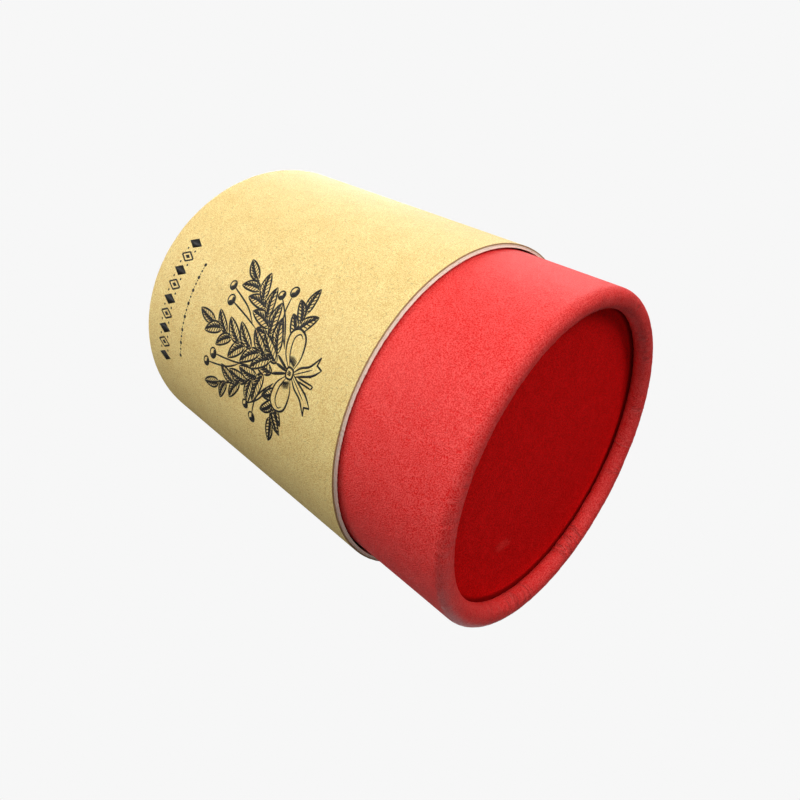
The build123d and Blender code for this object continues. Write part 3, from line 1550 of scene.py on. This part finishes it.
@dataclass(frozen=True)
class InkFinish:
    """Black printing ink that lets a little of the paper's grain through."""

    name: str = "black_ink"
    ink: Colour = (0.0095, 0.0095, 0.011)
    worn: Colour = (0.06, 0.048, 0.028)
    roughness: Point = (0.5, 0.68)
    bump: float = 0.3
    bump_depth: float = 0.02
    gloss: float = 0.3

    def material(self) -> bpy.types.Material:
        """Build the material.

        Returns:
            The finished material.
        """
        made, nodes = new_material(self.name)
        grain = GrainGroup().use(nodes, Place=nodes.place(), Grain_Size=0.3, Cloud_Size=3.0)
        colour = nodes.blend(nodes.remap(grain["Grain"], 0.8, 1.0, 0.0, 0.5), self.ink, self.worn)
        rough = nodes.remap(grain["Clouds"], 0.0, 1.0, *self.roughness)
        nodes.paint(colour, rough, grain["Height"], self.bump, self.bump_depth, self.gloss)
        return made


class FinishRack:
    """Holds each finish's material, made once."""

    def __init__(self) -> None:
        """Start with no materials."""
        self.made: dict[str, bpy.types.Material] = {}

    def dress(self, piece: Piece, finish: PaperFinish | InkFinish) -> None:
        """Give a piece one finish all over.

        Args:
            piece: the piece or CAD node.
            finish: the finish.
        """
        if finish.name not in self.made:
            self.made[finish.name] = finish.material()
        piece.data.materials.clear()
        piece.data.materials.append(self.made[finish.name])


# The two tubes


@dataclass
class TubeAssembly:
    """One tube of the box: its wrap, two board plies, liner and the three layers of its end disc."""

    tube: Tube
    wrap: PaperFinish
    disc: PaperFinish
    wrap_slot: str
    wrap_trim: float = 0.0
    wrap_paper: float = 0.15
    board_ply: float = 0.18
    liner_card: float = 0.37
    glue_line: float = 0.04
    crease_depth: float = 0.07
    lap_depth: float = 0.1
    wrap_recess: float = 0.42
    ply_recesses: Point = (0.36, 0.2)

    def sheets(self) -> list[tuple[Sheet, PaperFinish]]:
        """Lay out the sheets of the wall, each cut edge a little short of the next one inside.

        Returns:
            The sheets, from the outside in, each with its finish.
        """
        body, radius = self.tube.body, self.tube.wall_radius
        ply_skin = self.wrap_paper + self.glue_line
        inner_skin = ply_skin + self.board_ply + self.glue_line
        bore_skin = inner_skin + self.board_ply + self.glue_line
        wrap = RolledSheet(
            f"{body}_wrap", f"{body}_outer_wrap", self.wrap_slot, self.tube, radius - self.wrap_trim,
            self.wrap_paper - self.wrap_trim, recess=self.wrap_recess, skin=self.wrap_trim,
            crease_depth=self.crease_depth, lap_depth=self.lap_depth)
        plies = [
            RolledSheet(f"{body}_{place}_ply", f"{body}_{place}_board_ply", "tube_board", self.tube,
                        radius - skin, self.board_ply, recess=recess, skin=skin, wall_rows=5, arc_steps=24)
            for place, skin, recess in zip(("outer", "inner"), (ply_skin, inner_skin), self.ply_recesses)]
        liner = Sheet(f"{body}_liner", f"{body}_inner_liner", "lining_paper", self.tube, radius - bore_skin,
                      self.liner_card, wall_rows=5)
        # The outer ply's brown board also stands in for the shade at the mouth.
        return [(wrap, self.wrap), (plies[0], KRAFT_BOARD_AND_SHADE), (plies[1], BOARD), (liner, LINING)]

    def build(self, frame: dict, rack: FinishRack) -> None:
        """Build the wall's sheets and dress them and the end disc.

        Args:
            frame: the loaded frame.
            rack: the finishes.
        """
        for sheet, finish in self.sheets():
            piece = sheet.build()
            rack.dress(piece, finish)
            log.info("%s: %d faces", piece.name, len(piece.data.polygons))
        for layer, finish in (("facing", self.disc), ("board", BOARD), ("lining", LINING_DISC)):
            node = frame["nodes"][f"{self.tube.body}_disc_{layer}"]
            rack.dress(node, finish)
            log.info("%s: dressed", node.name)


BASE = TubeAssembly(
    Tube("base", End.DOWN, wall_radius=40.5, crest=0.0, mouth=102.12, curl_radius=2.3, liner_end=6.48),
    wrap=RED, disc=RED_DISC_PAINTED_SHADE, wrap_slot="red_paper")
LID = TubeAssembly(
    Tube("lid", End.UP, wall_radius=42.0, crest=110.5, mouth=28.4, curl_radius=3.3, liner_end=102.02),
    wrap=KRAFT, disc=KRAFT_DISC, wrap_slot="kraft_paper", wrap_trim=0.015)


# The studio


@dataclass
class PhotoCamera:
    """The camera at the photograph's place, looking up at the box's red end."""

    place: Place = (42.832, -132.242, -53.354)
    heading: float = 8.6
    tilt: float = 35.398
    roll: float = 66.02
    lens: float = 28.989
    shift: Point = (-0.07426, -0.12126)

    def build(self) -> None:
        """Make the camera and the scene look through it."""
        data = bpy.data.cameras.new("photo_camera")
        data.sensor_width = 36.0
        data.lens = self.lens
        data.shift_x, data.shift_y = self.shift
        data.clip_start = 0.01
        camera = bpy.data.objects.new("photo_camera", data)
        turn = (Matrix.Rotation(math.radians(self.heading), 4, "Z")
                @ Matrix.Rotation(math.radians(90 + self.tilt), 4, "X")
                @ Matrix.Rotation(math.radians(-self.roll), 4, "Z"))
        camera.matrix_world = Matrix.Translation(Vector(self.place) * MM) @ turn
        bpy.context.scene.collection.objects.link(camera)
        bpy.context.scene.camera = camera


@dataclass
class SoftLamp:
    """A large round lamp aimed at the middle of the box."""

    name: str
    azimuth: float
    elevation: float
    size: float
    watts: float
    distance: float = 700.0
    aim: Place = (0.0, 0.0, 50.0)

    def build(self) -> None:
        """Make the lamp at its place."""
        data = bpy.data.lights.new(self.name, "AREA")
        data.shape = "DISK"
        data.size = self.size * MM
        data.energy = self.watts
        lamp = bpy.data.objects.new(self.name, data)
        turn, rise = math.radians(self.azimuth), math.radians(self.elevation)
        away = Vector((math.cos(rise) * math.cos(turn), math.cos(rise) * math.sin(turn), math.sin(rise)))
        lamp.location = (Vector(self.aim) + away * self.distance) * MM
        lamp.rotation_euler = away.to_track_quat("Z", "Y").to_euler()
        bpy.context.scene.collection.objects.link(lamp)


@dataclass
class Studio:
    """Pale seamless surroundings, a floor that shows from above, and soft lamps."""

    backdrop: Colour = (0.930, 0.930, 0.930)
    ambient: float = 0.06
    floor_colour: Colour = (0.74, 0.74, 0.74)
    floor_radius: float = 1.2
    floor_fade: Point = (0.34, 0.12)
    lamps: list[SoftLamp] = field(default_factory=list)

    def build(self) -> None:
        """Make the surroundings, the floor and the lamps."""
        self.surroundings()
        self.floor()
        for lamp in self.lamps:
            lamp.build()

    def surroundings(self) -> None:
        """Light the box evenly, and show the pale backdrop to the camera."""
        world = bpy.data.worlds.new("studio")
        world.use_nodes = True
        bpy.context.scene.world = world
        nodes = Nodes(world.node_tree)
        rays = nodes.add("LightPath").outputs
        light = nodes.add("Background", {"Color": (1, 1, 1, 1), "Strength": self.ambient}).outputs[0]
        shown = nodes.add("Background", {"Color": (*self.backdrop, 1), "Strength": 1.0}).outputs[0]
        mixed = nodes.add("MixShader", {0: rays["Is Camera Ray"], 1: light, 2: shown}).outputs[0]
        nodes.add("OutputWorld", {"Surface": mixed})

    def floor(self) -> None:
        """Make a round floor that fades into the backdrop and is clear when seen from below."""
        deselect_all()
        bpy.ops.mesh.primitive_circle_add(vertices=96, radius=self.floor_radius, fill_type="NGON",
                                          location=(0, 0, 0))
        floor = bpy.context.object
        floor.name = floor.data.name = "studio_floor"
        floor.data.materials.append(self.floor_finish())

    def floor_finish(self) -> bpy.types.Material:
        """Build the floor's material.

        Returns:
            A pale matt finish that only the camera sees.
        """
        made, nodes = new_material("studio_floor")
        rays = nodes.add("LightPath").outputs
        side = nodes.add("NewGeometry").outputs
        near = nodes.remap(nodes.far(nodes.add("TexCoord").outputs["Object"]), *self.floor_fade)
        front = nodes.math("SUBTRACT", 1.0, side["Backfacing"])
        seen = nodes.product(rays["Is Camera Ray"], front, near)
        clear = nodes.add("BsdfTransparent").outputs[0]
        matt = nodes.add("BsdfDiffuse", {"Color": (*self.floor_colour, 1), "Roughness": 0.0}).outputs[0]
        mixed = nodes.add("MixShader", {0: seen, 1: clear, 2: matt}).outputs[0]
        nodes.add("OutputMaterial", {"Surface": mixed})
        return made


STUDIO = Studio(lamps=[
    SoftLamp("front_lamp", azimuth=-40, elevation=-5, size=380, watts=2.6),
    SoftLamp("low_front_lamp", azimuth=-78, elevation=-28, size=300, watts=0.68),
    SoftLamp("high_front_lamp", azimuth=-76, elevation=40, size=380, watts=2.8),
    SoftLamp("low_side_lamp", azimuth=0, elevation=-40, size=380, watts=2.1),
    SoftLamp("side_lamp", azimuth=40, elevation=20, size=380, watts=1.74),
    SoftLamp("high_side_lamp", azimuth=60, elevation=60, size=500, watts=3.3),
    SoftLamp("back_lamp", azimuth=150, elevation=-5, size=400, watts=0.9),
])


def main() -> None:
    """Build the box and the studio round it."""
    logging.basicConfig(level=logging.INFO, format="%(name)s: %(message)s")
    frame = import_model()
    bpy.context.scene.view_settings.view_transform = "Standard"
    PhotoCamera().build()
    rack = FinishRack()
    for assembly in (BASE, LID):
        assembly.build(frame, rack)
    ink = Print().build()
    rack.dress(ink, InkFinish())
    log.info("%s: %d faces", ink.name, len(ink.data.polygons))
    STUDIO.build()
    log.info("sizes written")


if __name__ == "__main__":
    main()
